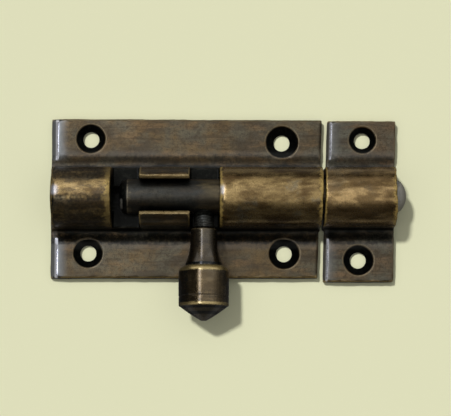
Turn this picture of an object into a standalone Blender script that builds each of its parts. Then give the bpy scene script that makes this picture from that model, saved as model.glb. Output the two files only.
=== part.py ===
"""A small barrel bolt with its keep, lying on its back.

The case is one length of brass section, a flat flange with an arched barrel along its middle.
The round bolt slides and turns in the barrel's bore. Its knob points sideways in one of two
gates, cut across the barrel at the ends of a slot between two ears, so that a turned-down
knob locks the bolt. The keep is a short length of the same section, and takes the bolt's tip.

Frame: +X along the bolt towards the keep, +Z away from the surface that the backs lie on,
and the origin at the middle of the case's back. Lengths are in metres.
"""

import math

import bmesh
import bpy
from mathutils import Matrix, Vector

MM = 0.001

# The case, a flange with a barrel along it.
CASE_LENGTH = 50.0 * MM
CASE_WIDTH = 29.6 * MM
FLANGE_THICKNESS = 2.2 * MM
FLANGE_EDGE_RADIUS = 0.3 * MM
BARREL_RADIUS = 5.5 * MM
BARREL_HALF_BASE = 5.8 * MM
BOLT_HEIGHT = 6.5 * MM
CASE_BORE = 6.8 * MM
# The far flange is this much wider at the case's left end than at its right.
FAR_FLANGE_TAPER = 0.3 * MM

# The cove between the flange and the barrel's wall: a share of one hump of a sine, sharpened.
COVE_WIDTH = 2.3 * MM
COVE_DEPTH = 0.6 * MM
COVE_SHARE = 0.62
COVE_SHARPNESS = 1.5

# Where the barrel is cut away, from left to right along X.
LEFT_GATE = (-13.35 * MM, -8.3 * MM)
RIGHT_GATE = (1.0 * MM, 6.4 * MM)
GATE_FLOOR = 3.9 * MM
SLOT_WIDTH = 5.8 * MM
SLOT_EDGE_HEIGHT = 10.35 * MM
SLOT_EDGE_SLOPE = math.radians(30)

# The ends that are filed by hand: all but the case's left end are a little out of square, the
# flanges stand back from the barrels where the case and keep meet, and the barrels stand back
# from the flanges at the two outer ends. A bevel is its width along X and its depth.
END_SKEW = math.radians(1.9)
KEEP_RIGHT_SKEW = math.radians(1.3)
CASE_FLANGE_SETBACK = 0.2 * MM
KEEP_FLANGE_SETBACK = 0.42 * MM
CASE_BARREL_SETBACK = 0.75 * MM
KEEP_BARREL_SETBACK = 0.2 * MM
END_GAP = 0.3 * MM
CASE_LEFT_BEVEL = (1.1 * MM, 0.6 * MM)
CASE_RIGHT_BEVEL = (0.45 * MM, 0.3 * MM)
KEEP_LEFT_BEVEL = (0.8 * MM, 0.55 * MM)

# The keep, and where its flange reaches to across X.
KEEP_RIGHT_END = 38.9 * MM
KEEP_TOP_EDGE = 14.7 * MM
KEEP_BOTTOM_EDGE = -15.5 * MM
KEEP_HALF_BASE = 5.6 * MM
KEEP_BORE = 7.0 * MM

# Screw holes: X, Y and the countersink's diameter, each drilled by hand through the flange.
CASE_SCREW_HOLES = (
    (-17.65 * MM, 11.25 * MM, 5.45 * MM),
    (-18.05 * MM, -10.05 * MM, 5.5 * MM),
    (17.95 * MM, 10.6 * MM, 6.1 * MM),
    (18.3 * MM, -10.2 * MM, 5.75 * MM),
)
KEEP_SCREW_HOLES = (
    (32.95 * MM, 11.0 * MM, 5.1 * MM),
    (32.05 * MM, -11.4 * MM, 5.65 * MM),
)
SCREW_HOLE = 2.9 * MM

# The bolt, which is drawn here thrown through the keep.
BOLT_DIAMETER = 6.4 * MM
BOLT_TAIL = -11.9 * MM
BOLT_TAIL_ROUNDING = 1.5 * MM
BOLT_TIP = 40.5 * MM
BOLT_TIP_ROUNDING = 2.4 * MM

# The knob: distances along it are from the bolt's axis.
KNOB_X = 3.5 * MM
KNOB_RISE = math.radians(2.5)
STUD_DIAMETER = 3.8 * MM
STUD_FOOT = 1.3 * MM
SPIGOT_DIAMETER = 2.4 * MM
SPIGOT_END = 10.0 * MM
STUD_CHAMFER = 0.15 * MM
STEM_START = 6.0 * MM
STEM_DIAMETER = 4.8 * MM
STEM_END = 12.4 * MM
STEM_END_DIAMETER = 6.8 * MM
STEM_FLARE_POWER = 2.6
HEAD_START = 12.85 * MM
HEAD_DIAMETER = 9.2 * MM
HEAD_CORNER = 1.1 * MM
HEAD_GROOVE = 18.4 * MM
HEAD_GROOVE_DEPTH = 0.12 * MM
HEAD_END = 20.2 * MM
HEAD_TAPER = 0.05 * MM
HEAD_RIM_ROUNDING = 0.15 * MM
KNOB_END = 22.8 * MM
KNOB_END_FLAT = 0.45 * MM
KNOB_END_CROWN = 0.06 * MM

CLEARANCE = 0.3 * MM

# How far the cutting blocks reach: just past a face, beside the whole part, above it, beyond an
# end, and above the flange alone.
MARGIN = 1.0 * MM
BESIDE = 30.0 * MM
ABOVE = 16.0 * MM
BEYOND = 6.0 * MM
LOW_ABOVE = 4.5 * MM
# The blocks that shape a flange stop this short of the barrel's wall.
WALL_MARGIN = 0.2 * MM

CASE_BRASS = ("case_brass", (0.21, 0.155, 0.085, 1.0), 0.42, 0.95)
KEEP_BRASS = ("keep_brass", (0.22, 0.16, 0.085, 1.0), 0.42, 0.95)
BOLT_METAL = ("bolt_metal", (0.09, 0.085, 0.075, 1.0), 0.4, 0.95)
KNOB_BRASS = ("knob_brass", (0.24, 0.18, 0.1, 1.0), 0.34, 0.95)
STUD_STEEL = ("stud_steel", (0.2, 0.2, 0.18, 1.0), 0.55, 0.9)


# ---------------------------------------------------------------- scene and helpers


def clear_scene():
    for obj in list(bpy.data.objects):
        bpy.data.objects.remove(obj, do_unlink=True)


def add_collection(name):
    collection = bpy.data.collections.new(name)
    bpy.context.scene.collection.children.link(collection)
    return collection


def principled(name, colour, roughness, metallic):
    material = bpy.data.materials.new(name)
    material.use_nodes = True
    shader = material.node_tree.nodes["Principled BSDF"]
    shader.inputs["Base Color"].default_value = colour
    shader.inputs["Roughness"].default_value = roughness
    shader.inputs["Metallic"].default_value = metallic
    return material


def mesh_object(name, mesh, collection):
    obj = bpy.data.objects.new(name, mesh)
    collection.objects.link(obj)
    return obj


def as_cutter(obj):
    obj.hide_render = True
    obj.display_type = "WIRE"
    return obj


def cut(obj, cutter):
    modifier = obj.modifiers.new("cut_" + cutter.name, "BOOLEAN")
    modifier.operation = "DIFFERENCE"
    modifier.object = cutter
    modifier.solver = "EXACT"


def finish(obj, material, sharp_degrees=30):
    obj.data.materials.append(principled(*material))
    obj.data.shade_smooth()
    obj.data.set_sharp_from_angle(angle=math.radians(sharp_degrees))


def arc(centre, radius, start_degrees, end_degrees, steps):
    """Points of an arc in a plane, from one angle to the other, both ends included."""
    points = []
    for step in range(steps + 1):
        angle = math.radians(start_degrees + (end_degrees - start_degrees) * step / steps)
        points.append(
            (centre[0] + radius * math.cos(angle), centre[1] + radius * math.sin(angle))
        )
    return points


def extrude_along_x(name, outline, start, end, collection):
    """A solid whose section is an outline of (Y, Z) points, from one X to another."""
    curve = bpy.data.curves.new(name, "CURVE")
    curve.dimensions = "2D"
    curve.fill_mode = "BOTH"
    curve.extrude = (end - start) / 2
    spline = curve.splines.new("POLY")
    spline.points.add(len(outline) - 1)
    for point, (across, up) in zip(spline.points, outline):
        point.co = (across, up, 0.0, 1.0)
    spline.use_cyclic_u = True
    drawn = mesh_object(name + "_outline", curve, collection)
    # The outline's own X, Y and Z become the world's Y, Z and X.
    drawn.matrix_world = Matrix.Translation(((start + end) / 2, 0, 0)) @ Matrix(
        ((0, 0, 1, 0), (1, 0, 0, 0), (0, 1, 0, 0), (0, 0, 0, 1))
    )
    bpy.context.view_layer.update()
    graph = bpy.context.evaluated_depsgraph_get()
    mesh = bpy.data.meshes.new_from_object(drawn.evaluated_get(graph))
    welded = bmesh.new()
    welded.from_mesh(mesh)
    bmesh.ops.remove_doubles(welded, verts=welded.verts, dist=0.000001)
    bmesh.ops.recalc_face_normals(welded, faces=welded.faces)
    welded.to_mesh(mesh)
    welded.free()
    solid = mesh_object(name, mesh, collection)
    solid.matrix_world = drawn.matrix_world
    bpy.data.objects.remove(drawn, do_unlink=True)
    return solid


def box(name, low, high, collection):
    low = Vector(low)
    high = Vector(high)
    built = bmesh.new()
    bmesh.ops.create_cube(built, size=1.0)
    bmesh.ops.scale(built, vec=high - low, verts=built.verts)
    mesh = bpy.data.meshes.new(name)
    built.to_mesh(mesh)
    built.free()
    obj = mesh_object(name, mesh, collection)
    obj.location = (low + high) / 2
    return obj


def round_bar(name, radius_low, radius_high, length, collection, segments=48):
    """A cylinder or cone along its own Z, centred on its origin."""
    built = bmesh.new()
    bmesh.ops.create_cone(
        built,
        cap_ends=True,
        segments=segments,
        radius1=radius_low,
        radius2=radius_high,
        depth=length,
    )
    mesh = bpy.data.meshes.new(name)
    built.to_mesh(mesh)
    built.free()
    return mesh_object(name, mesh, collection)


def turned(name, profile, steps, collection):
    """A turned solid about its own Z, from (radius, height) points listed top to bottom."""
    mesh = bpy.data.meshes.new(name)
    built = bmesh.new()
    previous = None
    for radius, height in profile:
        vertex = built.verts.new((radius, 0, height))
        if previous is not None:
            built.edges.new((previous, vertex))
        previous = vertex
    built.to_mesh(mesh)
    built.free()
    obj = mesh_object(name, mesh, collection)
    screw = obj.modifiers.new("turn", "SCREW")
    screw.axis = "Z"
    screw.angle = math.tau
    screw.steps = steps
    screw.render_steps = steps
    screw.use_merge_vertices = True
    screw.merge_threshold = 0.000001
    screw.use_smooth_shade = True
    return obj


# ---------------------------------------------------------------- the section


def cove_points(half_base):
    """The dip beside the barrel on the +Y side, from the flange's face to the wall."""
    outer = half_base + COVE_WIDTH
    points = []
    steps = 8
    for step in range(steps + 1):
        across = outer - COVE_WIDTH * step / steps
        dip = math.sin(math.pi * COVE_SHARE * step / steps) ** COVE_SHARPNESS
        points.append((across, FLANGE_THICKNESS - COVE_DEPTH * dip))
    return points


def section_outline(right_edge, left_edge, half_base):
    """The closed section as (Y, Z) points: the back, the flange, the cove and the arch."""
    corner = FLANGE_EDGE_RADIUS
    top = FLANGE_THICKNESS
    right_side = arc((right_edge - corner, top - corner), corner, 0, 90, 4)
    right_side += cove_points(half_base)
    arch = arc((0, BOLT_HEIGHT), BARREL_RADIUS, 0, 180, 40)
    left_side = [(-across, up) for across, up in reversed(cove_points(half_base))]
    left_side += arc((left_edge + corner, top - corner), corner, 90, 180, 4)
    return [(left_edge, 0), (right_edge, 0)] + right_side + arch + left_side


def turned_block(name, low, high, place, collection):
    """A cutting block between two corners, moved by a matrix."""
    block = box(name, low, high, collection)
    block.matrix_world = place @ Matrix.Translation(block.location)
    return as_cutter(block)


def skewed_end(name, end, side, skew, collection):
    """A block that cuts off everything beyond an end, which leans by that skew."""
    x_low, x_high = (0, BEYOND) if side > 0 else (-BEYOND, 0)
    place = Matrix.Translation((end, 0, 0)) @ Matrix.Rotation(-skew, 4, "Z")
    return turned_block(
        name, (x_low, -BESIDE, -MARGIN), (x_high, BESIDE, ABOVE), place, collection
    )


def flange_setback(name, end, side, setback, across_side, half_base, collection):
    """A block that files one flange back from the end of the barrel between them."""
    inner = half_base + WALL_MARGIN
    x_low, x_high = (-setback, BEYOND) if side > 0 else (-BEYOND, setback)
    y_low, y_high = (inner, BESIDE) if across_side > 0 else (-BESIDE, -inner)
    place = Matrix.Translation((end, 0, 0)) @ Matrix.Rotation(-END_SKEW, 4, "Z")
    return turned_block(
        name, (x_low, y_low, -MARGIN), (x_high, y_high, LOW_ABOVE), place, collection
    )


def flange_bevel(name, end, side, bevel, skew, half_base, across_side, collection):
    """A tilted block that bevels a flange's end face, on one side of the barrel."""
    width, depth = bevel
    inner = half_base + WALL_MARGIN
    y_low, y_high = (inner, BESIDE) if across_side > 0 else (-BESIDE, -inner)
    tilt = Matrix.Rotation(side * math.atan2(depth, width), 4, "Y")
    turn = Matrix.Rotation(-skew, 4, "Z")
    edge = Matrix.Translation((end - side * width, 0, FLANGE_THICKNESS))
    return turned_block(
        name, (-BEYOND, y_low, 0), (BEYOND, y_high, LOW_ABOVE), edge @ turn @ tilt, collection
    )


def barrel_setback(name, end, side, setback, collection):
    """A block that files the barrel back from the end of the flanges beside it."""
    x_low, x_high = (end - setback, end + MARGIN) if side > 0 else (end - MARGIN, end + setback)
    reach = BARREL_HALF_BASE + MARGIN
    return as_cutter(
        box(name, (x_low, -reach, FLANGE_THICKNESS), (x_high, reach, ABOVE), collection)
    )


def taper_far_flange(obj, taper):
    """Moves the far edge outwards at the left end only, so that the far flange tapers."""
    for vertex in obj.data.vertices:
        place = obj.matrix_world @ vertex.co
        if place.x < 0 and place.y > CASE_WIDTH / 2 - 1.01 * FLANGE_EDGE_RADIUS:
            place.y += taper
            vertex.co = obj.matrix_world.inverted() @ place


def drill_screw_holes(obj, holes, cutters):
    """Through holes in the flange, with 90 degree countersinks whose cutters reach past both ends."""
    below = CLEARANCE / 2
    above = CLEARANCE
    for number, (x, y, countersink) in enumerate(holes, start=1):
        label = obj.name + "_hole_%d" % number
        radius = SCREW_HOLE / 2
        hole = round_bar(label, radius, radius, FLANGE_THICKNESS + 2 * MARGIN, cutters)
        hole.location = (x, y, FLANGE_THICKNESS / 2)
        cut(obj, as_cutter(hole))
        low = FLANGE_THICKNESS - (countersink / 2 - radius) - below
        high = FLANGE_THICKNESS + above
        sink = round_bar(
            label + "_sink", radius - below, countersink / 2 + above, high - low, cutters
        )
        sink.location = (x, y, (low + high) / 2)
        cut(obj, as_cutter(sink))


def bore(obj, diameter, start, end, cutters):
    length = end - start + 2 * MARGIN
    cutter = round_bar(
        obj.name + "_bore", diameter / 2, diameter / 2, length, cutters, segments=64
    )
    cutter.rotation_euler = (0, math.radians(90), 0)
    cutter.location = ((start + end) / 2, 0, BOLT_HEIGHT)
    cut(obj, as_cutter(cutter))


# ---------------------------------------------------------------- the pieces


def make_case(parts, cutters):
    left = -CASE_LENGTH / 2
    right = CASE_LENGTH / 2 + CASE_FLANGE_SETBACK
    half = CASE_WIDTH / 2
    outline = section_outline(half, -half, BARREL_HALF_BASE)
    case = extrude_along_x("case", outline, left, right + MARGIN, parts)
    taper_far_flange(case, FAR_FLANGE_TAPER)
    cut(case, skewed_end("case_right_end", right, 1, END_SKEW, cutters))
    bore(case, CASE_BORE, left, right, cutters)
    cut(case, barrel_setback("case_barrel_end", left, -1, CASE_BARREL_SETBACK, cutters))
    gate_reach = BARREL_HALF_BASE + 2 * MARGIN
    for label, gate in (("left", LEFT_GATE), ("right", RIGHT_GATE)):
        gap = box(
            "case_%s_gate" % label,
            (gate[0], -gate_reach, GATE_FLOOR),
            (gate[1], gate_reach, ABOVE),
            cutters,
        )
        cut(case, as_cutter(gap))
    cut(case, make_slot_cutter(cutters))
    for across_side, label in ((1, "far"), (-1, "near")):
        setback = flange_setback(
            "case_setback_" + label,
            right,
            1,
            CASE_FLANGE_SETBACK,
            across_side,
            BARREL_HALF_BASE,
            cutters,
        )
        cut(case, setback)
        left_bevel = flange_bevel(
            "case_left_bevel_" + label,
            left,
            -1,
            CASE_LEFT_BEVEL,
            0.0,
            BARREL_HALF_BASE,
            across_side,
            cutters,
        )
        cut(case, left_bevel)
        right_bevel = flange_bevel(
            "case_right_bevel_" + label,
            right - CASE_FLANGE_SETBACK,
            1,
            CASE_RIGHT_BEVEL,
            END_SKEW,
            BARREL_HALF_BASE,
            across_side,
            cutters,
        )
        cut(case, right_bevel)
    drill_screw_holes(case, CASE_SCREW_HOLES, cutters)
    finish(case, CASE_BRASS)
    return case


def make_slot_cutter(cutters):
    """The slot between the ears, with filed edges that open upwards."""
    half = SLOT_WIDTH / 2
    flare = BARREL_RADIUS - half
    rise = flare * math.tan(SLOT_EDGE_SLOPE)
    outline = [
        (-half, BOLT_HEIGHT),
        (half, BOLT_HEIGHT),
        (half, SLOT_EDGE_HEIGHT),
        (half + flare, SLOT_EDGE_HEIGHT + rise),
        (half + flare, ABOVE),
        (-half - flare, ABOVE),
        (-half - flare, SLOT_EDGE_HEIGHT + rise),
        (-half, SLOT_EDGE_HEIGHT),
    ]
    start = LEFT_GATE[1] - MARGIN
    end = RIGHT_GATE[0] + MARGIN
    return as_cutter(extrude_along_x("case_slot", outline, start, end, cutters))


def make_keep(parts, cutters):
    left = CASE_LENGTH / 2 + CASE_FLANGE_SETBACK + END_GAP
    right = KEEP_RIGHT_END
    outline = section_outline(KEEP_TOP_EDGE, KEEP_BOTTOM_EDGE, KEEP_HALF_BASE)
    keep = extrude_along_x("keep", outline, left - MARGIN, right + MARGIN, parts)
    cut(keep, skewed_end("keep_left_end", left, -1, END_SKEW, cutters))
    cut(keep, skewed_end("keep_right_end", right, 1, KEEP_RIGHT_SKEW, cutters))
    bore(keep, KEEP_BORE, left, right, cutters)
    cut(keep, barrel_setback("keep_barrel_end", right, 1, KEEP_BARREL_SETBACK, cutters))
    for across_side, label in ((1, "far"), (-1, "near")):
        setback = flange_setback(
            "keep_setback_" + label,
            left,
            -1,
            KEEP_FLANGE_SETBACK,
            across_side,
            KEEP_HALF_BASE,
            cutters,
        )
        cut(keep, setback)
        bevel = flange_bevel(
            "keep_left_bevel_" + label,
            left + KEEP_FLANGE_SETBACK,
            -1,
            KEEP_LEFT_BEVEL,
            END_SKEW,
            KEEP_HALF_BASE,
            across_side,
            cutters,
        )
        cut(keep, bevel)
    drill_screw_holes(keep, KEEP_SCREW_HOLES, cutters)
    finish(keep, KEEP_BRASS)
    return keep


def knob_matrix():
    """Puts a piece that is turned about its own Z on the knob's axis, from the bolt's axis."""
    outward = Vector((0, -math.cos(KNOB_RISE), math.sin(KNOB_RISE)))
    rotation = Vector((0, 0, 1)).rotation_difference(outward).to_matrix().to_4x4()
    return Matrix.Translation((KNOB_X, 0, BOLT_HEIGHT)) @ rotation


def make_bolt_rod(parts, cutters):
    """The round bolt along X, with a hole across it that takes the knob's stud."""
    radius = BOLT_DIAMETER / 2
    steps = 8
    profile = []
    for step in range(steps + 1):
        angle = math.pi / 2 * step / steps
        height = BOLT_TIP - BOLT_TIP_ROUNDING * (1 - math.cos(angle))
        profile.append((radius * math.sin(angle), height))
    for step in range(steps, -1, -1):
        angle = math.pi / 2 * step / steps
        height = BOLT_TAIL + BOLT_TAIL_ROUNDING * (1 - math.cos(angle))
        profile.append((radius * math.sin(angle), height))
    rod = turned("bolt_rod", profile, 64, parts)
    rod.rotation_euler = (0, math.radians(90), 0)
    rod.location = (0, 0, BOLT_HEIGHT)
    hole_radius = STUD_DIAMETER / 2 + CLEARANCE
    foot = STUD_FOOT - CLEARANCE
    hole_length = radius + MARGIN
    hole = round_bar("bolt_rod_hole", hole_radius, hole_radius, hole_length, cutters)
    middle = Matrix.Translation((0, 0, foot + hole_length / 2))
    hole.matrix_world = knob_matrix() @ middle
    cut(rod, as_cutter(hole))
    finish(rod, BOLT_METAL)
    return rod


def make_stud(parts):
    """The stud between the bolt and the knob, with a thinner spigot up the knob's stem."""
    neck = STEM_START - CLEARANCE
    profile = [
        (0, SPIGOT_END),
        (SPIGOT_DIAMETER / 2 - STUD_CHAMFER, SPIGOT_END),
        (SPIGOT_DIAMETER / 2, SPIGOT_END - STUD_CHAMFER),
        (SPIGOT_DIAMETER / 2, neck),
        (STUD_DIAMETER / 2 - STUD_CHAMFER, neck),
        (STUD_DIAMETER / 2, neck - STUD_CHAMFER),
        (STUD_DIAMETER / 2, STUD_FOOT),
        (0, STUD_FOOT),
    ]
    stud = turned("knob_stud", profile, 40, parts)
    stud.matrix_world = knob_matrix()
    finish(stud, STUD_STEEL)
    return stud


def make_knob(parts):
    """The turned knob: a flared stem, a drum-shaped head and a low cone at its end."""
    head = HEAD_DIAMETER / 2
    stem = STEM_DIAMETER / 2
    stem_end = STEM_END_DIAMETER / 2
    groove = HEAD_GROOVE_DEPTH
    socket = SPIGOT_DIAMETER / 2 + CLEARANCE
    socket_end = SPIGOT_END + CLEARANCE
    rim = head - HEAD_TAPER
    profile = [
        (0, KNOB_END),
        (KNOB_END_FLAT, KNOB_END - KNOB_END_CROWN),
        (rim - HEAD_RIM_ROUNDING, HEAD_END),
        (rim, HEAD_END - HEAD_RIM_ROUNDING),
        (rim, HEAD_GROOVE + groove),
        (head - groove, HEAD_GROOVE),
        (head, HEAD_GROOVE - groove),
    ]
    corner_centre = (head - HEAD_CORNER, HEAD_START + HEAD_CORNER)
    profile += arc(corner_centre, HEAD_CORNER, 0, -90, 6)
    profile.append((stem_end, STEM_END))
    flare_steps = 8
    for step in range(1, flare_steps + 1):
        along = step / flare_steps
        widening = (1 - along) ** STEM_FLARE_POWER
        height = STEM_END - (STEM_END - STEM_START - STUD_CHAMFER) * along
        profile.append((stem + (stem_end - stem) * widening, height))
    profile.append((stem - STUD_CHAMFER, STEM_START))
    profile.append((socket, STEM_START))
    profile.append((socket, socket_end))
    profile.append((0, socket_end))
    knob = turned("knob", profile, 56, parts)
    knob.matrix_world = knob_matrix()
    finish(knob, KNOB_BRASS)
    return knob


def main():
    clear_scene()
    parts = add_collection("barrel_bolt")
    cutters = add_collection("barrel_bolt_cutters")
    make_case(parts, cutters)
    make_keep(parts, cutters)
    make_bolt_rod(parts, cutters)
    make_stud(parts)
    make_knob(parts)


main()
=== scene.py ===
"""The looks of a small antique-brass barrel bolt and its keep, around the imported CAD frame."""
import math
from collections import namedtuple
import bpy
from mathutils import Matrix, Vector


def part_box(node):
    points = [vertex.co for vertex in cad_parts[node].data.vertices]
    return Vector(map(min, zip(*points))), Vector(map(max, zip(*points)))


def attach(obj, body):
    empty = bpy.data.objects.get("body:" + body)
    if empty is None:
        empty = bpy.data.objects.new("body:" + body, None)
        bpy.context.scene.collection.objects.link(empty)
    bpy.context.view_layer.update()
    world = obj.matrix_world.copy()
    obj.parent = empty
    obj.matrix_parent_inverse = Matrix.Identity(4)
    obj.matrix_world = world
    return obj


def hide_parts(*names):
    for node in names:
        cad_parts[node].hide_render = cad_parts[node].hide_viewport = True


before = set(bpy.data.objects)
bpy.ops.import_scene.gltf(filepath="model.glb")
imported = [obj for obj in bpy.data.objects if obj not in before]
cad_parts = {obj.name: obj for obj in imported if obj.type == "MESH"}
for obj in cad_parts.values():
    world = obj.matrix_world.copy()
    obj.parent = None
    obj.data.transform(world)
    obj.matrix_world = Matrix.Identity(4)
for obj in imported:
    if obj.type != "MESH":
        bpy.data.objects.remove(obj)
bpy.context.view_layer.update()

from types import SimpleNamespace

import bmesh
import bpy
import numpy as np
from mathutils import Matrix, Vector
from mathutils.bvhtree import BVHTree

MM = 0.001


def mm(*lengths):
    """Lengths in millimetres, as metres, the frame's unit."""
    return tuple(length * MM for length in lengths)


# ---------------------------------------------------------------- sizes


def middle(node, axis):
    low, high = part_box(node)
    return (low[axis] + high[axis]) / 2


def half_width(node, axis):
    low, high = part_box(node)
    return (high[axis] - low[axis]) / 2


# From the frame.
BOLT_AXIS_Z = middle("bolt_rod", 2)
BOLT_RADIUS = half_width("bolt_rod", 1)
BARREL_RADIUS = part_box("case")[1].z - BOLT_AXIS_Z
KNOB_X = middle("knob", 0)
KNOB_HEAD_RADIUS = half_width("knob", 0)

# As in the part, with each skewed end at about its middle.
KNOB_RISE = math.radians(2.5)
PLATE_TOP = 2.2 * MM
CASE_BARREL_LEFT = -24.25 * MM
LEFT_GATE = mm(-13.35, -8.3)
RIGHT_GATE = mm(1.0, 6.4)
CASE_BARREL_RIGHT = 25.2 * MM
KEEP_BARREL = mm(25.5, 38.7)
KEEP_END_SLOPE = math.tan(math.radians(1.9))

# The dense meshes and their wear. An edge's bulge and a crease's depth are given from where
# wear or grime begins to where it is full.
SECTION_VOXEL = 0.2 * MM
WORN_BULGE = mm(0.02, 0.085)
CREASE_DEPTH = mm(0.012, 0.08)
NIBBLE_DEPTH, NIBBLE_SIZE = mm(0.08, 2.2)
HOLLOW_DEPTH, HOLLOW_SIZE = mm(0.07, 9)
DENT_DEPTH, DENT_SIZE = mm(0.014, 2.6)
GATE_DARK_BELOW = 4.6 * MM

# The material's attributes that each piece sets for itself, from 0 to 1: gold on a worn edge,
# handled metal, black (mostly painted shade, with some real dark marks), polish that also takes
# a painted highlight colour, less metallic, and pale (a painted sheen and painted light).
ZONES = ("rim", "handled", "pit", "polish_and_glint", "dull", "pale")

rng = np.random.default_rng(7)


# ---------------------------------------------------------------- mesh arrays


def coordinates(mesh):
    flat = np.empty(len(mesh.vertices) * 3, np.float32)
    mesh.vertices.foreach_get("co", flat)
    return flat.reshape(-1, 3).astype(float)


def set_coordinates(mesh, points):
    mesh.vertices.foreach_set("co", points.astype(np.float32).ravel())
    mesh.update()


def normals(mesh):
    flat = np.empty(len(mesh.vertices) * 3, np.float32)
    mesh.vertex_normals.foreach_get("vector", flat)
    return flat.reshape(-1, 3).astype(float)


def edge_ends(mesh):
    flat = np.empty(len(mesh.edges) * 2, np.int32)
    mesh.edges.foreach_get("vertices", flat)
    return flat.reshape(-1, 2)


def averaged(values, ends, rounds, kept=0.35):
    """values, each mixed with the mean of its neighbours' values, some rounds over."""
    count = len(values)
    first, second = ends[:, 0], ends[:, 1]
    degree = np.bincount(first, minlength=count) + np.bincount(second, minlength=count)
    degree = np.maximum(degree, 1)
    columns = values.reshape(count, -1).copy()
    for _ in range(rounds):
        total = np.empty_like(columns)
        for column in range(columns.shape[1]):
            now = columns[:, column]
            total[:, column] = np.bincount(first, now[second], count)
            total[:, column] += np.bincount(second, now[first], count)
        columns = kept * columns + (1 - kept) * total / degree[:, None]
    return columns.reshape(values.shape)


def smoothstep(low, high, values):
    along = np.clip((values - low) / (high - low), 0, 1)
    return along * along * (3 - 2 * along)


def near(values, low, high, blur):
    """1 inside low..high, falling to 0 over the blur outside."""
    return smoothstep(low - blur, low, values) * (1 - smoothstep(high, high + blur, values))


def highest(*shares):
    return np.maximum.reduce(np.broadcast_arrays(*shares))


def wave_noise(points, size, seed, layers=3):
    """Smooth noise of about unit spread, from a few rounds of crossed waves of that size."""
    finer, fainter, waves, spread = 1.9, 0.6, 6, 2.4
    bending, shift = 0.35, 1.3
    made = np.random.default_rng(seed)
    total = np.zeros(len(points))
    weight = 0.0
    for layer in range(layers):
        pitch = size / finer**layer
        share = fainter**layer
        for _ in range(waves):
            direction = made.normal(size=3)
            direction /= np.linalg.norm(direction)
            phase = made.uniform(0, math.tau)
            bend = made.normal(size=3) * bending / pitch
            inner = np.sin(points @ bend * math.tau + phase * 2)
            turns = points @ direction * math.tau / pitch
            total += share * np.sin(turns + phase + shift * inner)
        weight += share * spread
    return total / weight


# ---------------------------------------------------------------- making meshes


def new_object(name, data):
    obj = bpy.data.objects.new(name, data)
    bpy.context.scene.collection.objects.link(obj)
    return obj


def evaluated_mesh(obj):
    graph = bpy.context.evaluated_depsgraph_get()
    return bpy.data.meshes.new_from_object(obj.evaluated_get(graph))


def cad_copy(node):
    """A welded copy of a CAD node's mesh, as an object of its own."""
    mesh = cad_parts[node].data.copy()
    mesh.materials.clear()
    welded = bmesh.new()
    welded.from_mesh(mesh)
    bmesh.ops.remove_doubles(welded, verts=welded.verts, dist=1e-7)
    welded.to_mesh(mesh)
    welded.free()
    return new_object(node + "_source", mesh)


def cad_tree(node):
    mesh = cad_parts[node].data
    mesh.calc_loop_triangles()
    points = [vertex.co.copy() for vertex in mesh.vertices]
    faces = [tuple(triangle.vertices) for triangle in mesh.loop_triangles]
    return BVHTree.FromPolygons(points, faces, epsilon=0.0)


def remeshed(node, voxel):
    """A dense, even mesh of a CAD node, with every point back on the node's own surface."""
    source = cad_copy(node)
    remesh = source.modifiers.new("even", "REMESH")
    remesh.mode = "VOXEL"
    remesh.voxel_size = voxel
    mesh = evaluated_mesh(source)
    bpy.data.objects.remove(source)
    tree = cad_tree(node)
    points = coordinates(mesh)
    for index, point in enumerate(points):
        nearest = tree.find_nearest(point)[0]
        if nearest is not None:
            points[index] = nearest
    set_coordinates(mesh, points)
    return mesh, tree


def onto_cylinder(points, radius, above=-math.inf):
    """Moves the points that lie on a facet of a cylinder about the bolt's axis onto the cylinder
    itself, if they are further than that above the axis."""
    facet_depth = 0.02 * MM
    across = points[:, 1]
    up = points[:, 2] - BOLT_AXIS_Z
    distance = np.hypot(across, up)
    on_it = (np.abs(distance - radius) < facet_depth) & (up > above)
    factor = np.where(on_it, radius / np.maximum(distance, 1e-9), 1.0)
    points[:, 1] = across * factor
    points[:, 2] = BOLT_AXIS_Z + up * factor


def subdivided(profile, spacing):
    fine = [profile[0]]
    for start, end in zip(profile, profile[1:]):
        steps = max(1, round(math.dist(start, end) / spacing))
        for step in range(1, steps + 1):
            along = step / steps
            fine.append(tuple(a + (b - a) * along for a, b in zip(start, end)))
    return fine


def lathe(name, profile, segments, matrix, radius_change=None, spacing=0.12 * MM):
    """A dense turned mesh: profile is (radius, height) points from bottom to top, on the axis
    at both ends."""
    fine = subdivided(profile, spacing)
    rings = fine[1:-1]
    vertices = [(0, 0, fine[0][1])]
    for radius, height in rings:
        for angle in np.arange(segments) * math.tau / segments:
            reach = radius
            if radius_change is not None:
                reach += radius_change(radius, height, angle)
            vertices.append((reach * math.cos(angle), reach * math.sin(angle), height))
    vertices.append((0, 0, fine[-1][1]))
    faces = []
    for turn in range(segments):
        after = (turn + 1) % segments
        faces.append((0, 1 + after, 1 + turn))
        for ring in range(len(rings) - 1):
            low = 1 + ring * segments
            high = low + segments
            faces.append((low + turn, low + after, high + after, high + turn))
        top = 1 + (len(rings) - 1) * segments
        faces.append((top + turn, top + after, len(vertices) - 1))
    mesh = bpy.data.meshes.new(name)
    mesh.from_pydata(vertices, [], faces)
    mesh.transform(matrix)
    mesh.update()
    return mesh


def arc(centre, radius, start_degrees, end_degrees, steps):
    points = []
    for step in range(steps + 1):
        angle = math.radians(start_degrees + (end_degrees - start_degrees) * step / steps)
        points.append(
            (centre[0] + radius * math.cos(angle), centre[1] + radius * math.sin(angle))
        )
    return points


# ---------------------------------------------------------------- wear and grime


def float_attribute(mesh, name, values):
    layer = mesh.attributes.new(name, "FLOAT", "POINT")
    everywhere = np.broadcast_to(values, len(mesh.vertices))
    layer.data.foreach_set("value", everywhere.astype(np.float32))


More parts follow.
